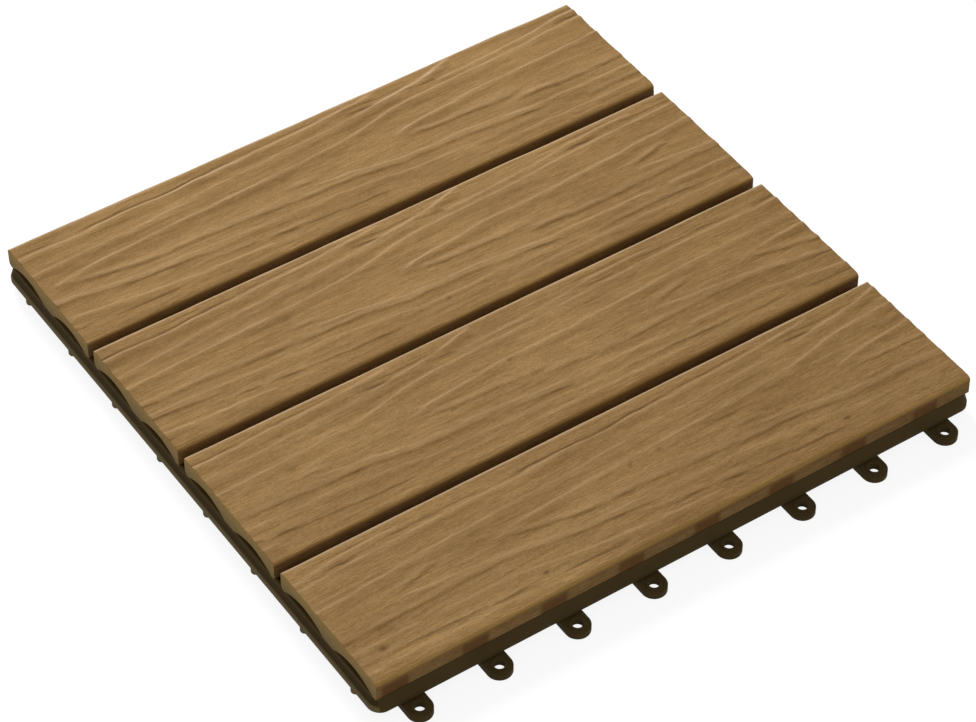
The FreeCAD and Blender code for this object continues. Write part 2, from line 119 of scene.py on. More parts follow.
# Ridges of the pattern: the side that falls off steeply, the height, and the line that the crest follows, as
# (millimetres along the pattern, millimetres from the board's back edge)
RIDGES = (
    ("back", 1.0, (
        (5, 31.8), (10, 30.4), (18, 29.2), (24, 28.0), (46, 27.2), (52, 26.5), (77, 25.6), (104, 24.6),
        (118, 23.8), (133, 23.4), (151, 22.2), (160, 21.0), (171, 19.3), (180, 17.2), (186, 15.8),
        (200, 14.5), (230, 13.4), (260, 12.2), (275, 10.9), (304, 9.6), (319, 9.0), (342, 8.2))),
    ("back", 1.0, (
        (336, 8.3), (362, 8.5), (372, 8.9), (392, 7.7), (402, 7.3), (422, 7.8), (432, 6.8), (454, 6.4),
        (462, 5.7), (482, 5.5), (492, 4.8), (502, 4.0), (513, 3.4), (520, 2.8), (528, 1.4))),
    ("back", 1.0, (
        (178, 32.0), (184, 30.4), (190, 29.2), (200, 28.2), (210, 27.4), (221, 25.7), (230, 24.9),
        (245, 25.0), (260, 24.6), (275, 24.2), (290, 23.6), (298, 22.8), (313, 21.8), (325, 20.8),
        (342, 20.0))),
    ("back", 0.6, (
        (332, 20.4), (357, 19.6), (372, 19.1), (392, 18.8), (402, 17.9), (422, 16.4), (442, 14.2),
        (462, 13.9), (475, 12.9), (493, 12.1), (507, 11.1))),
    ("back", 1.0, (
        (498, 11.8), (513, 10.6), (522, 9.8), (527, 8.6), (542, 7.5), (548, 6.3), (554, 5.0),
        (562, 2.8), (570, 0.6))),
    ("back", 0.75, (
        (215, 10.2), (236, 9.4), (260, 8.0), (275, 6.8), (281, 5.7), (289, 4.7), (304, 4.2), (320, 3.8))),
    ("front", 1.0, (
        (6, 31.6), (10, 32.9), (15, 34.2), (24, 36.0), (30, 37.2), (36, 38.4), (43, 39.5), (52, 40.1),
        (74, 40.4), (83, 41.2), (92, 42.0), (104, 42.6), (123, 43.8), (133, 44.8), (148, 45.1),
        (155, 45.7), (163, 47.1), (171, 48.4), (186, 49.0), (200, 49.3), (215, 50.5), (224, 51.2),
        (233, 52.0), (240, 52.8), (246, 53.7))),
    ("back", 0.95, (
        (130, 38.6), (139, 40.2), (148, 40.9), (154, 42.0), (160, 43.2), (171, 45.0), (186, 46.2),
        (200, 46.2), (220, 46.8), (226, 48.2), (235, 49.3), (245, 49.7), (260, 50.0), (300, 50.6))),
    ("front", 0.9, (
        (183, 35.2), (188, 35.6), (195, 36.4), (201, 37.0), (210, 37.0), (218, 37.6), (224, 38.1),
        (232, 38.5), (242, 38.0))),
    ("front", 1.0, (
        (238, 42.2), (251, 42.6), (260, 43.8), (266, 44.2), (280, 44.1), (295, 43.5), (304, 43.2),
        (319, 42.8), (345, 42.8), (354, 43.5), (361, 44.7), (369, 46.5), (378, 47.5), (386, 48.4),
        (397, 49.1), (406, 49.7), (413, 50.5), (421, 51.1))),
    ("back", 0.8, (
        (299, 34.6), (307, 36.4), (313, 37.2), (325, 38.0), (340, 39.3), (345, 40.3), (354, 41.0),
        (361, 42.0), (372, 44.6), (383, 45.3), (401, 45.7), (416, 46.5), (431, 47.4), (446, 48.0))),
    ("back", 0.45, (
        (440, 47.8), (460, 48.7), (471, 48.9), (490, 51.2), (505, 52.7), (513, 54.0), (530, 55.0),
        (560, 55.3), (587, 55.2))),
    ("front", 1.0, ((298, 33.4), (306, 32.0), (313, 30.4), (322, 28.6))),
    ("front", 0.45, (
        (316, 25.8), (330, 24.8), (342, 23.4), (357, 22.4), (392, 21.9), (422, 21.3), (442, 19.8),
        (462, 18.2), (487, 16.1), (502, 15.1), (520, 13.5), (545, 11.5))),
    ("front", 0.4, ((122, 25.6), (142, 24.8), (154, 24.0))),
    ("front", 0.4, ((100, 8.6), (120, 8.2), (140, 7.4), (152, 6.4))),
    ("front", 0.35, ((195, 19.0), (215, 18.2), (245, 18.0), (275, 16.4), (300, 13.6), (330, 12.0))),
    ("front", 0.7, ((68, 54.4), (77, 55.0), (83, 55.7), (89, 56.1), (95, 56.6))),
    ("front", 0.7, ((96, 57.0), (104, 57.3), (111, 58.2), (119, 58.8))),
    ("back", 0.75, (
        (306, 50.2), (327, 51.1), (342, 51.4), (354, 52.8), (364, 54.5), (373, 55.8), (388, 57.3),
        (400, 58.6), (415, 59.7), (440, 61.0))),
    ("front", 0.5, ((205, 58.2), (222, 57.8), (232, 58.2))),
    ("front", 0.6, ((242, 57.2), (250, 57.4), (257, 57.8))),
    ("front", 0.8, ((266, 57.8), (280, 57.6), (298, 58.0), (306, 58.4), (322, 59.2))),
    ("back", 0.45, ((212, 61.2), (250, 61.3), (300, 61.2), (342, 62.0))),
    ("front", 0.4, ((172, 60.8), (190, 61.0), (211, 61.2))),
    ("back", 0.5, ((117, 34.4), (126, 34.0), (137, 34.6))),
    ("front", 0.9, ((118, 35.9), (126, 36.1), (136, 36.6))),
    ("back", 0.5, ((122, 37.8), (133, 38.8))),
    ("front", 0.6, ((177, 32.8), (184, 32.9), (188, 33.0))),
)

# Thin dark cracks of the pattern, as depth of tone and line
CRACKS = (
    (0.9, ((29, 7.2), (50, 6.4), (74, 6.8), (82, 6.7), (90, 5.6), (112, 5.2))),
    (0.6, ((110, 4.8), (135, 4.0), (158, 3.4))),
    (0.5, ((270, 3.8), (288, 3.3), (307, 3.0))),
    (1.0, ((167, 8.2), (184, 9.3))),
    (0.6, ((165, 5.4), (185, 6.2), (204, 5.8))),
    (0.8, ((200, 9.2), (215, 10.1))),
    (0.8, ((281, 8.8), (298, 8.6))),
    (0.6, ((311, 6.6), (335, 6.3), (360, 6.6))),
    (0.7, ((31, 48.1), (44, 48.7), (58, 49.5))),
    (0.8, ((80, 55.8), (93, 56.8))),
    (0.7, ((98, 57.6), (112, 58.6))),
    (0.7, ((114, 58.8), (136, 60.2))),
    (0.9, ((132, 60.4), (162, 60.9))),
    (0.7, ((228, 52.2), (246, 53.9))),
    (0.8, ((288, 57.6), (300, 58.2), (312, 58.7), (326, 59.2))),
    (0.7, ((327, 59.7), (351, 60.1))),
    (0.7, ((359, 60.9), (376, 61.7), (392, 62.3))),
)

# Painted highlights, nearly white lines on the crests, which only the back board has, as strength and line
GLEAMS = (
    (0.9, ((66, 8.0), (78, 8.1), (88, 7.3), (102, 6.9), (116, 6.5))),
    (0.7, ((140, 5.9), (146, 5.6), (153, 5.15), (168, 4.3))),
    (1.0, ((178, 9.4), (182, 9.0), (194, 8.0), (202, 7.9), (212, 6.2), (222, 4.0))),
    (0.6, ((258, 8.3), (266, 7.6), (283, 5.7), (297, 4.75), (306, 4.4))),
)

# Small dark specks, as board, place along it, distance from its back edge, half length, half width, strength
SPECKS = (
    (1, 122.0, 29.4, 2.6, 1.0, 0.55),
    (2, 77.0, 29.6, 2.6, 1.0, 0.55),
    (2, 141.5, 58.0, 0.9, 0.7, 0.8),
    (3, 33.0, 30.2, 2.6, 1.0, 0.55),
    (3, 12.7, 53.1, 0.8, 0.5, 0.6),
    (3, 142.0, 28.4, 1.4, 0.7, 0.6),
    (4, 196.5, 30.6, 4.5, 0.9, 0.55),
    (4, 148.5, 30.9, 1.0, 1.4, 0.45),
    (4, 163.3, 29.9, 1.2, 1.3, 0.45),
    (4, 87.1, 59.2, 1.5, 0.7, 0.9),
    (4, 238.0, 59.4, 1.8, 0.8, 1.0),
    (4, 222.5, 57.1, 1.6, 0.9, 0.6),
    (4, 12.3, 56.2, 1.6, 1.1, 0.9),
)

# Painted shade on the front board's front face, one patch beside each eyelet: their ends from the eyelet, how
# far they fade out past each end in millimetres, and their upper limit as shares of the thickness
LOCK_PITCH = 37.5
EYELET_SHADE_START = -12.3
EYELET_SHADE_END = -2.2
EYELET_SHADE_LEFT_REACH = 1.8
EYELET_SHADE_RIGHT_REACH = 1.2
EYELET_SHADE_TOP = 0.70
EYELET_SHADE_FADE = 0.14

# Painted shade on the sides that face a gap, up to a limit in shares of the thickness
GAP_SIDE = 0.5
GAP_SHADE_TOP = 0.95
GAP_SHADE_FADE = 0.18

# Front edge: a painted highlight on the rounding, weaker on the boards behind, and a thin line of painted
# shadow below it
BROW_DROP = 0.2
BROW_FOOT = 0.5
BROW_BEHIND = 0.6
FACE_SLACK = 0.05
FACE_FOOT = 0.05
SEAM_DEPTH = 0.6
SEAM_WIDTH = 0.9

# Back edge: a painted highlight along it, stronger painted highlights near it, and on the back board a darker
# strip
BACK_HIGHLIGHT_DEPTH = 0.5
BACK_HIGHLIGHT_WIDTH = 0.7
NEAR_BACK_STRENGTH = 0.4
NEAR_BACK_REACH = 9.0
BACK_STRIP_STRENGTH = 0.7
BACK_STRIP_DEPTH = 3.9
BACK_STRIP_WIDTH = 1.6

# Limits of the painted shade and painted highlights on the ridges
SHADE_STRENGTH = 0.8
GLINT_LIMIT = 2.2

# Marks of the boards' tops in the order in which they are laid on, as attribute, share and colour; most are
# painted shade or painted highlights, while the cracks and specks are marks of the boards themselves
TONES = (
    ("furrow_shade_and_strip", 0.26, (0.165, 0.080, 0.016)),
    ("shade", 0.26, (0.135, 0.060, 0.010)),
    ("glint", 0.30, (0.510, 0.348, 0.200)),
    ("gleam", 0.45, (0.640, 0.510, 0.380)),
    ("back_edge_highlight", 0.80, (0.520, 0.370, 0.220)),
    ("brow_highlight", 0.55, (0.580, 0.330, 0.090)),
    ("seam_shadow", 0.50, (0.140, 0.055, 0.010)),
    ("crack", 0.80, (0.072, 0.033, 0.007)),
    ("eyelet_shade", 0.70, (0.125, 0.046, 0.010)),
    ("gap_shade", 0.38, (0.065, 0.028, 0.006)),
)

# Colours of the materials, from the lower to the higher end of the noise that mixes them
TOP_COLOURS = ((0.267, 0.153, 0.057), (0.330, 0.197, 0.075))
TOP_TINTS = ((0.54, 0.49, 0.42), (0.47, 0.505, 0.56))
CUT_COLOURS = ((0.400, 0.255, 0.088), (0.500, 0.325, 0.120))
PLASTIC_COLOURS = ((0.074, 0.048, 0.016), (0.088, 0.058, 0.021))
STEEL_COLOURS = ((0.42, 0.42, 0.41), (0.56, 0.56, 0.55))
WARM_DARK = (1.03, 0.99, 0.88)
PALE_LIGHT = (0.985, 1.0, 1.04)
NEUTRAL = (1.0, 1.0, 1.0)
WHITE = (1.0, 1.0, 1.0)
NOISE_ENDS = (0.28, 0.72)

# Right front corner of the tile, with painted shade that deepens as X less a share of Y goes from one limit
# to the other, in metres
CORNER_SLANT = 0.5
CORNER_RANGE = (0.045, 0.12)
CORNER_SHADE = (0.91, 0.90, 0.87)

# Sawn ends, with painted shade towards their foot, between two heights in metres
CUT_RANGE = (0.020, 0.013)
CUT_FOOT_SHADE = (0.70, 0.78, 0.92)

# Left rim of the base: everything beyond this X in metres, with painted light low down and painted shade
# above it, as colours between two heights
RIM_EDGE = -0.1465
RIM_RANGE = (0.004, 0.012)
RIM_LIGHT_AND_SHADE = (
    (0.32, (0.200, 0.147, 0.068)),
    (0.45, (0.140, 0.096, 0.038)),
    (0.51, (0.054, 0.033, 0.008)),
    (0.80, (0.060, 0.039, 0.012)),
    (1.0, (0.120, 0.072, 0.024)),
)

# Floor: its size and how far it lies below the tile in metres, its colours out of view and in view, and its
# own light in view
FLOOR_SIZE = 12.0
FLOOR_DROP = 0.0002
FLOOR_COLOURS = ((0.30, 0.30, 0.30), (0.16, 0.16, 0.16))
FLOOR_GLOW = 0.88

# Lamps as name, place, size in metres and power in watts, and the strength of the light from all around
LAMPS = (
    ("key_light", (0.20, 1.20, 1.26), 0.5, 27.5),
    ("fill_light", (-0.6, -1.7, 1.2), 1.4, 4),
)
WORLD_STRENGTH = 0.42

# Camera at the photograph's angle: place, lens and sensor in millimetres
CAMERA_PLACE = (-591.8, -890.1, 1072.9)
CAMERA_RIGHT = (0.82885, -0.55945, -0.00381)
CAMERA_DOWN = (-0.40011, -0.58800, -0.70297)
FOCAL_LENGTH = 130.08
SENSOR_WIDTH = 36.0
CLIP_START = 0.05


def bell(distance, width):
    """1 in the middle, falling off smoothly on both sides."""
    return np.exp(-((distance / width) ** 2))


def smooth_noise(rng, across, along, cell_across, cell_along):
    """Value noise from -1 to 1 with cells of a given size, which repeats with the pattern."""
    columns = int(round(PATTERN_LENGTH / cell_along))
    rows = int(np.ptp(across) / cell_across) + SPARE_ROWS
    values = rng.uniform(-1, 1, (rows, columns))
    u = along / (PATTERN_LENGTH / columns)
    v = (across - across.min()) / cell_across
    column, row = np.floor(u).astype(int), np.floor(v).astype(int)
    blend_u, blend_v = u - column, v - row
    blend_u = blend_u * blend_u * (3 - 2 * blend_u)
    blend_v = blend_v * blend_v * (3 - 2 * blend_v)
    near, far = column % columns, (column + 1) % columns
    low = values[row, near] * (1 - blend_u) + values[row, far] * blend_u
    high = values[row + 1, near] * (1 - blend_u) + values[row + 1, far] * blend_u
    return low * (1 - blend_v) + high * blend_v


def crest_line(points, along):
    """Smooth line through the points, sampled at each place along the pattern."""
    fine = np.arange(points[0][0], points[-1][0] + 1, 1.0)
    line = np.interp(fine, *zip(*points))
    kernel = np.hanning(LINE_SMOOTHING)
    padded = np.pad(line, LINE_SMOOTHING // 2, mode="edge")
    return np.interp(along, fine, np.convolve(padded, kernel / kernel.sum(), mode="valid"))


def repeats(points):
    """The same line one pattern length before, in its place, and one after."""
    for turn in (-PATTERN_LENGTH, 0.0, PATTERN_LENGTH):
        yield tuple((place + turn, depth) for place, depth in points)


def line_strength(points, along):
    """1 along a line of the pattern, fading to 0 at its two ends."""
    inside = np.minimum(along - points[0][0], points[-1][0] - along) / END_TAPER
    return np.sqrt(np.clip(inside, 0, 1))


def emboss(along, across):
    """Relief of the pattern, about 0 in a valley and 1 on a crest, and the marks that its tones follow."""
    rng = np.random.default_rng(SEED)
    wobble = np.zeros_like(along)
    for size, *cells in WAVERS:
        wobble += size * smooth_noise(rng, across, along, *cells)
    waved = across + wobble
    size, *cells = STRENGTH_NOISE
    uneven = MEAN_STRENGTH + size * smooth_noise(rng, across, along, *cells)
    heights = np.zeros_like(along)
    marks = {name: np.zeros_like(along) for name in ("back", "front", "crack", "furrow_shade_and_strip", "gleam")}

    def lay(name, mark):
        marks[name] = np.maximum(marks[name], mark)

    def lay_thin(name, strength, line, width, wholeness):
        mark = strength * line_strength(line, along) * bell(waved - crest_line(line, along), width)
        lay(name, mark * np.clip(uneven + wholeness, 0, 1))

    for steep, height, points in RIDGES:
        steep_reach, rise = STEEP_SIDES[steep]
        for line in repeats(points):
            beside = waved - crest_line(line, along)
            if steep == "back":
                beside = BACK_CREST_OFFSET - beside
            strength = height * line_strength(line, along) * uneven
            reach = np.where(beside > 0, steep_reach, GENTLE_REACH)
            heights = np.maximum(heights, rise * strength * bell(beside, reach))
            # Painted highlight on a steep side that faces the back, painted shade on one that faces the front
            lay(steep, strength * bell(beside - SIDE_MIDDLE * steep_reach, steep_reach))
            if steep == "back":
                # Painted shade in the furrow in front of a lit crest
                lay("furrow_shade_and_strip", FURROW_SHADE_STRENGTH * strength * bell(beside + FURROW_SHADE_OFFSET, FURROW_SHADE_WIDTH))
            else:
                # Painted light in a band behind a shaded crest
                lay("back", BAND_STRENGTH * strength * bell(beside + BAND_OFFSET, BAND_WIDTH))
    for strength, points in CRACKS:
        for line in repeats(points):
            lay_thin("crack", strength, line, CRACK_WIDTH, CRACK_WHOLENESS)
    # Painted highlights: nearly white lines on the back board's crests
    for strength, points in GLEAMS:
        lay_thin("gleam", strength, points, GLEAM_WIDTH, GLEAM_WHOLENESS)
    heights -= CRACK_CUT * marks["crack"]
    for size, *cells in SWELLS:
        heights += size * smooth_noise(rng, across, along, *cells)
    edge = np.exp(-np.minimum(across, across.max() - across) / EDGE_REACH)
    size, *cells = EDGE_SWELL
    heights += size * edge * smooth_noise(rng, across, along, *cells)
    return heights, marks


def section_points(width, thickness):
    """Outline of a board's section as (across, up), from the top's back edge round to the back again.

    Across runs from the front (negative) to the back. The top comes first.
    """
    half = width / 2
    top = np.linspace(half - TOP_BACK_RADIUS, -half + TOP_FRONT_RADIUS, int(width / STEP_ACROSS))
    outline = [(value, thickness) for value in top]

    def round_corner(across, up, radius, turn):
        """Quarter of a circle about (across, up), which starts at a number of quarter turns."""
        quarter = math.pi / 2
        for angle in np.linspace(turn * quarter, (turn + 1) * quarter, ROUND_STEPS + 1)[1:]:
            outline.append((across + radius * math.cos(angle), up + radius * math.sin(angle)))

    def straight(end, steps):
        start = outline[-1]
        for share in np.linspace(0, 1, steps + 1)[1:]:
            outline.append(tuple(a + (b - a) * share for a, b in zip(start, end)))

    def arch(start, end):
        radius = ((end - start) ** 2 / 4 + ARCH_DEPTH ** 2) / (2 * ARCH_DEPTH)
        middle = (start + end) / 2
        for share in np.linspace(0, 1, ARCH_STEPS + 1)[1:]:
            place = start + (end - start) * share
            rise = math.sqrt(radius ** 2 - (place - middle) ** 2) - (radius - ARCH_DEPTH)
            outline.append((place, max(rise, 0.0)))

    round_corner(-half + TOP_FRONT_RADIUS, thickness - TOP_FRONT_RADIUS, TOP_FRONT_RADIUS, 1)
    straight((-half, LOWER_FRONT_RADIUS), SIDE_STEPS)
    round_corner(-half + LOWER_FRONT_RADIUS, LOWER_FRONT_RADIUS, LOWER_FRONT_RADIUS, 2)
    straight((-half + EDGE_FOOT, 0), FOOT_STEPS)
    arch(-half + EDGE_FOOT, -CENTRE_FOOT / 2)
    straight((CENTRE_FOOT / 2, 0), FOOT_STEPS)
    arch(CENTRE_FOOT / 2, half - EDGE_FOOT)
    straight((half - LOWER_BACK_RADIUS, 0), 1)
    round_corner(half - LOWER_BACK_RADIUS, LOWER_BACK_RADIUS, LOWER_BACK_RADIUS, -1)
    straight((half, thickness - TOP_BACK_RADIUS), SIDE_STEPS)
    round_corner(half - TOP_BACK_RADIUS, thickness - TOP_BACK_RADIUS, TOP_BACK_RADIUS, 0)
    return np.array(outline[:-1])


def tube_faces(rows, columns):
    """Quads between the rings of points along a board, then one face at each end."""
    ring = np.arange(columns)
    base = np.arange(rows - 1)[:, None] * columns
    following = (ring + 1) % columns
    quads = np.stack([base + ring, base + following, base + columns + following, base + columns + ring], -1)
    ends = [ring[::-1].tolist(), (ring + (rows - 1) * columns).tolist()]
    return quads.reshape(-1, 4).tolist() + ends


def speck_marks(board, place, depth):
    """Small dark specks of one board."""
    marks = np.zeros_like(place)
    for speck_board, speck_place, speck_depth, length, width, strength in SPECKS:
        if speck_board == board:
            mark = strength * bell(place - speck_place, length) * bell(depth - speck_depth, width)
            marks = np.maximum(marks, mark)
    return marks


def eyelet_shade_marks(x, up):
    """Row of painted shade patches along a front face, one to the left of each eyelet."""
    lock_share = (x - (EYELET_SHADE_START + EYELET_SHADE_END) / 2) / LOCK_PITCH - 0.5
    from_middle = (lock_share - np.round(lock_share)) * LOCK_PITCH
    beyond = np.clip(np.abs(from_middle) - (EYELET_SHADE_END - EYELET_SHADE_START) / 2, 0, None)
    reach = np.where(from_middle < 0, EYELET_SHADE_LEFT_REACH, EYELET_SHADE_RIGHT_REACH)
    return bell(beyond, reach) * np.clip((EYELET_SHADE_TOP - up) / EYELET_SHADE_FADE, 0, 1)


def front_marks(from_front, up, thickness):
    """Painted highlight on the rounding of the front edge, and a thin line of painted shadow below it."""
    below_round = (1 - up) * thickness - TOP_FRONT_RADIUS
    brow_highlight = np.clip((TOP_FRONT_RADIUS - from_front) / TOP_FRONT_RADIUS, 0, 1)
    brow_highlight = brow_highlight * (below_round < BROW_DROP) * (up > BROW_FOOT)
    on_face = (from_front < FACE_SLACK) & (up > FACE_FOOT)
    return brow_highlight, on_face * bell(below_round - SEAM_DEPTH, SEAM_WIDTH)


def build_slat(index, materials):
    """Embossed board in the place of its CAD solid, cut from the pattern at its own offset."""
    node = f"slat_{index + 1}"
    low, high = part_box(node)
    low, high = Vector(low) / MM, Vector(high) / MM
    thickness = high.z - low.z
    middle = (low.y + high.y) / 2
    outline = section_points(high.y - low.y, thickness)
    up = outline[:, 1] / thickness
    stations = np.linspace(low.x, high.x, int((high.x - low.x) / STEP_ALONG) + 1)
    offset, shift, stretch, slant, vigour = CUTS[index]
    place, depth = np.meshgrid(stations - low.x, high.y - middle - outline[:, 0], indexing="ij")
    across = (depth - shift - slant * (place - place.max() / 2)) / stretch
    heights, marks = emboss(place + offset, across)
    weight = np.clip((up - FADE_START) / FADE_SPAN, 0, 1) ** FADE_CURVE
    sink = EMBOSS_DEPTH * math.sqrt(vigour) * (TOP_LEVEL - heights) * weight
    x, y = np.meshgrid(stations, outline[:, 0] + middle, indexing="ij")
    z = outline[:, 1] + low.z - np.clip(sink, 0.0, None)
    points = np.stack([x, y, z], -1).reshape(-1, 3) * MM
    faces = tube_faces(*x.shape)
    mesh = bpy.data.meshes.new(f"board_{index + 1}")
    mesh.from_pydata(points.tolist(), [], faces)

    is_back, is_front = index == 0, index == SLAT_COUNT - 1
    in_gap = (not is_front) & (y < low.y + GAP_SIDE) | (not is_back) & (y > high.y - GAP_SIDE)
    brow_highlight, seam_shadow = front_marks(y - low.y, up, thickness)
    # Painted highlights on the ridges grow stronger near the back edge
    near_back = 1 + NEAR_BACK_STRENGTH * bell(depth, NEAR_BACK_REACH)
    # A darker strip near the back board's back edge
    back_dark_strip = BACK_STRIP_STRENGTH * bell(depth - BACK_STRIP_DEPTH, BACK_STRIP_WIDTH) * weight
    dark = np.maximum(marks["crack"], speck_marks(index + 1, place, depth))
    values = {
        # Painted shade and painted highlights of the ridges
        "shade": marks["front"] * weight * SHADE_STRENGTH,
        "glint": np.clip(marks["back"] * weight * vigour * near_back, 0, GLINT_LIMIT),
        "crack": dark * weight,
        # Painted highlights on the back board's crests
        "gleam": marks["gleam"] * weight * is_back,
        # Painted shade beside each eyelet on the front board's front face
        "eyelet_shade": eyelet_shade_marks(x, up) * is_front * (y < low.y + TOP_FRONT_RADIUS),
        # Painted shade on the sides that face a gap between boards
        "gap_shade": in_gap * np.clip((GAP_SHADE_TOP - up) / GAP_SHADE_FADE, 0, 1),
        # Painted highlight on the front rounding
        "brow_highlight": brow_highlight * (1.0 if is_front else BROW_BEHIND),
        # Painted shade in the furrows, with the back board's darker strip added
        "furrow_shade_and_strip": marks["furrow_shade_and_strip"] * weight * vigour + is_back * back_dark_strip,
        # Painted shadow in a thin line below the front rounding
        "seam_shadow": seam_shadow,
        # Painted highlight along the back edge, where its rounding catches the light
        "back_edge_highlight": bell(depth - BACK_HIGHLIGHT_DEPTH, BACK_HIGHLIGHT_WIDTH) * weight,
    }
    for name, value in values.items():
        attribute = mesh.attributes.new(name, "FLOAT", "POINT")
        attribute.data.foreach_set("value", value.reshape(-1).astype(np.float32))
    for material in materials:
        mesh.materials.append(material)
    on_side = np.arange(len(faces)) < len(faces) - END_FACES
    mesh.polygons.foreach_set("use_smooth", on_side)
    mesh.polygons.foreach_set("material_index", (~on_side).astype(np.int32))
    mesh.update()
    board = bpy.data.objects.new(f"board_{index + 1}", mesh)
    bpy.context.scene.collection.objects.link(board)
    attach(board, "root")
    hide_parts(node)


class Nodes:
    """Short way to add and join the nodes of one material."""

    def __init__(self, name):
        self.material = bpy.data.materials.new(name)
        self.material.use_nodes = True
        self.tree = self.material.node_tree
        self.shader = self.tree.nodes["Principled BSDF"]

    def connect(self, socket, value):
        """Link another node's output to a socket, or set the socket's own value."""
        if isinstance(value, bpy.types.NodeSocket):
            self.tree.links.new(value, socket)
        elif socket.type == "RGBA":
            socket.default_value = (*value, 1.0)
        else:
            socket.default_value = value

    def add(self, kind, inputs=(), **settings):
        """New node with its settings, and with its inputs by name."""
        node = self.tree.nodes.new(kind)
        for name, value in settings.items():
            setattr(node, name, value)
        for name, value in dict(inputs).items():
            self.connect(node.inputs[name], value)
        return node

    def place(self):
        """Place on the object, in metres."""
        return self.add("ShaderNodeTexCoord").outputs["Object"]

    def axes(self, place):
        """Parts of a place along X, Y and Z."""
        return self.add("ShaderNodeSeparateXYZ", {"Vector": place}).outputs

    def noise(self, place, stretch, detail, roughness):
        """Fractal noise, with its own scale along each axis."""
        mapping = self.add("ShaderNodeMapping", {"Vector": place, "Scale": stretch})
        inputs = {"Vector": mapping.outputs["Vector"], "Scale": 1.0, "Detail": detail, "Roughness": roughness}
        return self.add("ShaderNodeTexNoise", inputs).outputs["Fac"]

    def fade(self, value, limits):
        """0 at the first limit and 1 at the second."""
        inputs = {"Value": value, "From Min": limits[0], "From Max": limits[1]}
        return self.add("ShaderNodeMapRange", inputs).outputs["Result"]

    def ramp(self, factor, *stops):
        node = self.add("ShaderNodeValToRGB", {"Fac": factor})
        elements = node.color_ramp.elements
        while len(elements) < len(stops):
            elements.new(0.5)
        for element, (place, colour) in zip(elements, stops):
            element.position = place
            element.color = (*colour, 1.0)
        return node.outputs["Color"]

    def blend(self, factor, limits, colours):
        """Blend of two colours between two limits of the factor."""
        return self.ramp(factor, *zip(limits, colours))

    def mix(self, factor, first, second, blend="MIX"):
        node = self.add("ShaderNodeMix", data_type="RGBA", blend_type=blend)
        for socket, value in zip((node.inputs[0], node.inputs[6], node.inputs[7]), (factor, first, second)):
            self.connect(socket, value)
        return node.outputs[2]

    def overlay(self, share, tone, factor, levels, tints=(WARM_DARK, PALE_LIGHT)):
        """Lay noise over a tone: a dark and a light level, each with its tint."""
        colours = [tuple(part * level for part in tint) for level, tint in zip(levels, tints)]
        return self.mix(share, tone, self.blend(factor, NOISE_ENDS, colours), "OVERLAY")

    def marked(self, tone, name, share, colour):
        """Mix in a colour where the mesh's attribute of that name says so."""
        attribute = self.add("ShaderNodeAttribute", attribute_name=name).outputs["Fac"]
        return self.mix(self.maths("MULTIPLY", attribute, share), tone, colour)

    def maths(self, operation, *values):
        node = self.add("ShaderNodeMath", operation=operation)
        for socket, value in zip(node.inputs, values):
            self.connect(socket, value)
        return node.outputs[0]

    def bump(self, height, strength, distance):
        inputs = {"Height": height, "Strength": strength, "Distance": distance}
        return self.add("ShaderNodeBump", inputs).outputs["Normal"]

    def finish(self, colour, normal=None, roughness=0.6, metallic=0.0, specular=0.5):
        """Set the shader's inputs and return the material."""
        values = {"Base Color": colour, "Roughness": roughness, "Metallic": metallic}
        values["Specular IOR Level"] = specular
        if normal is not None:
            values["Normal"] = normal
        for name, value in values.items():
            self.connect(self.shader.inputs[name], value)
        return self.material


def composite_top():
    """Wood composite with an embossed grain: tan, with painted shade in the furrows and painted highlights on
    the crests and edges, and fine fibres.
    """
    nodes = Nodes("composite_top")
    place = nodes.place()
    fibres = nodes.noise(place, (130, 2700, 1200), detail=4.0, roughness=0.7)
    streaks = nodes.noise(place, (34, 520, 200), detail=4.0, roughness=0.6)
    clouds = nodes.noise(place, (16, 60, 60), detail=3.0, roughness=0.5)
    grains = nodes.noise(place, (700, 2600, 1800), detail=3.0, roughness=0.7)
    hues = nodes.noise(place, (190, 260, 260), detail=2.0, roughness=0.6)
    tone = nodes.blend(clouds, (0.30, 0.72), TOP_COLOURS)
    tone = nodes.overlay(0.50, tone, streaks, (0.36, 0.64))
    tone = nodes.overlay(0.85, tone, fibres, (0.31, 0.69))
    tone = nodes.overlay(0.75, tone, grains, (0.33, 0.67))
    tone = nodes.mix(0.10, tone, nodes.blend(hues, (0.36, 0.64), TOP_TINTS), "OVERLAY")
    axes = nodes.axes(place)
    # Painted shade towards the right front corner
    corner = nodes.maths("SUBTRACT", axes["X"], nodes.maths("MULTIPLY", axes["Y"], CORNER_SLANT))
    tone = nodes.mix(nodes.fade(corner, CORNER_RANGE), tone, CORNER_SHADE, "MULTIPLY")
    # Lay on the marks: painted shade and painted highlights, and the cracks and specks
    for name, share, colour in TONES:
        tone = nodes.marked(tone, name, share, colour)
    relief = 0.0
    for layer, share in ((fibres, 0.8), (streaks, 0.6), (grains, 0.6)):
        relief = nodes.maths("MULTIPLY_ADD", layer, share, relief)
    normal = nodes.bump(relief, strength=0.8, distance=0.0004)
    return nodes.finish(tone, normal, roughness=0.75, specular=0.10)


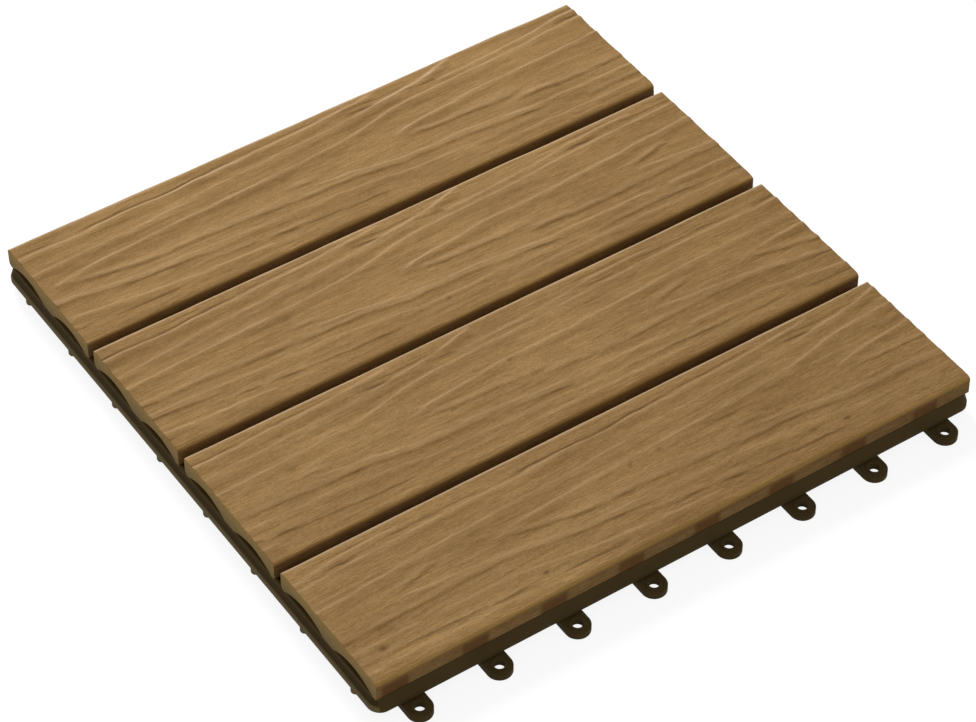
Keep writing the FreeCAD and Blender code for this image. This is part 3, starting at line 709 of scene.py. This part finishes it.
def composite_cut():
    """Sawn end of the composite: duller, with short saw marks and pale flecks of fibre, and painted shade
    towards its foot.
    """
    nodes = Nodes("composite_cut")
    place = nodes.place()
    saw_marks = nodes.noise(place, (900, 300, 1800), detail=3.0, roughness=0.6)
    flecks = nodes.noise(place, (1600, 1200, 1600), detail=2.0, roughness=0.5)
    tone = nodes.blend(saw_marks, (0.30, 0.72), CUT_COLOURS)
    tone = nodes.overlay(0.4, tone, flecks, (0.36, 0.64), (NEUTRAL, NEUTRAL))
    # Painted shade towards the foot of the sawn end
    foot = nodes.fade(nodes.axes(place)["Z"], CUT_RANGE)
    tone = nodes.mix(foot, tone, CUT_FOOT_SHADE, "MULTIPLY")
    normal = nodes.bump(saw_marks, strength=0.5, distance=0.0002)
    return nodes.finish(tone, normal, roughness=0.8, specular=0.12)


def moulded_plastic():
    """Dark olive-brown moulded plastic with a fine matte grain, with a painted highlight low on the left rim
    and painted shade above it.
    """
    nodes = Nodes("moulded_plastic")
    place = nodes.place()
    grain = nodes.noise(place, (1400, 1400, 1400), detail=3.0, roughness=0.6)
    clouds = nodes.noise(place, (60, 60, 60), detail=2.0, roughness=0.5)
    tone = nodes.blend(clouds, (0.30, 0.70), PLASTIC_COLOURS)
    axes = nodes.axes(place)
    # Painted highlight on the rim's lower edge and painted shade where the boards overhang it
    rim = nodes.ramp(nodes.fade(axes["Z"], RIM_RANGE), *RIM_LIGHT_AND_SHADE)
    tone = nodes.mix(nodes.maths("LESS_THAN", axes["X"], RIM_EDGE), tone, rim)
    normal = nodes.bump(grain, strength=0.25, distance=0.0001)
    return nodes.finish(tone, normal, roughness=0.65, specular=0.06)


def screw_steel():
    """Plain steel with a fine grain."""
    nodes = Nodes("screw_steel")
    grain = nodes.noise(nodes.place(), (900, 900, 900), detail=3.0, roughness=0.6)
    tone = nodes.blend(grain, (0.30, 0.70), STEEL_COLOURS)
    normal = nodes.bump(grain, strength=0.2, distance=0.00008)
    return nodes.finish(tone, normal, roughness=0.35, metallic=1.0)


def dress_node(name, material):
    """Give a CAD node that stays its material in every slot."""
    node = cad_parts[name]
    if not node.material_slots:
        node.data.materials.append(material)
    for slot in node.material_slots:
        slot.material = material


def build_floor():
    """Wide pale floor that looks white to the camera and keeps the tile's soft shadow."""
    bpy.ops.mesh.primitive_plane_add(size=FLOOR_SIZE, location=(0, 0, -FLOOR_DROP))
    floor = bpy.context.object
    floor.name = "floor"
    nodes = Nodes("pale_floor")
    path = nodes.add("ShaderNodeLightPath")
    seen = nodes.maths("MAXIMUM", path.outputs["Is Camera Ray"], path.outputs["Is Glossy Ray"])
    seen = nodes.maths("MAXIMUM", seen, path.outputs["Is Transmission Ray"])
    nodes.connect(nodes.shader.inputs["Emission Strength"], nodes.maths("MULTIPLY", seen, FLOOR_GLOW))
    nodes.connect(nodes.shader.inputs["Emission Color"], WHITE)
    material = nodes.finish(nodes.mix(seen, *FLOOR_COLOURS), roughness=0.9, specular=0.0)
    floor.data.materials.append(material)


def add_area_light(name, place, size, power):
    """Round lamp that points at the middle of the tile."""
    data = bpy.data.lights.new(name, "AREA")
    data.shape = "DISK"
    data.size = size
    data.energy = power
    lamp = bpy.data.objects.new(name, data)
    lamp.location = place
    lamp.rotation_euler = (-Vector(place)).to_track_quat("-Z", "Y").to_euler()
    bpy.context.scene.collection.objects.link(lamp)


def build_world():
    """Even white light from all around."""
    world = bpy.data.worlds.new("studio")
    bpy.context.scene.world = world
    world.use_nodes = True
    background = world.node_tree.nodes["Background"]
    background.inputs["Color"].default_value = (*WHITE, 1.0)
    background.inputs["Strength"].default_value = WORLD_STRENGTH


def build_camera():
    data = bpy.data.cameras.new("camera")
    data.lens = FOCAL_LENGTH
    data.sensor_width = SENSOR_WIDTH
    data.clip_start = CLIP_START
    camera = bpy.data.objects.new("camera", data)
    right = Vector(CAMERA_RIGHT).normalized()
    up = -Vector(CAMERA_DOWN).normalized()
    back = right.cross(up)
    turn = Matrix((right, back.cross(right), back)).transposed()
    camera.matrix_world = Matrix.Translation(Vector(CAMERA_PLACE) * MM) @ turn.to_4x4()
    bpy.context.scene.collection.objects.link(camera)
    bpy.context.scene.camera = camera


bpy.context.scene.view_settings.view_transform = "Standard"
boards = (composite_top(), composite_cut())
for slat_index in range(SLAT_COUNT):
    build_slat(slat_index, boards)
dress_node("base_grid", moulded_plastic())
steel = screw_steel()
for slat_index in range(SLAT_COUNT):
    dress_node(f"screws_slat_{slat_index + 1}", steel)
build_floor()
for lamp in LAMPS:
    add_area_light(*lamp)
build_world()
build_camera()
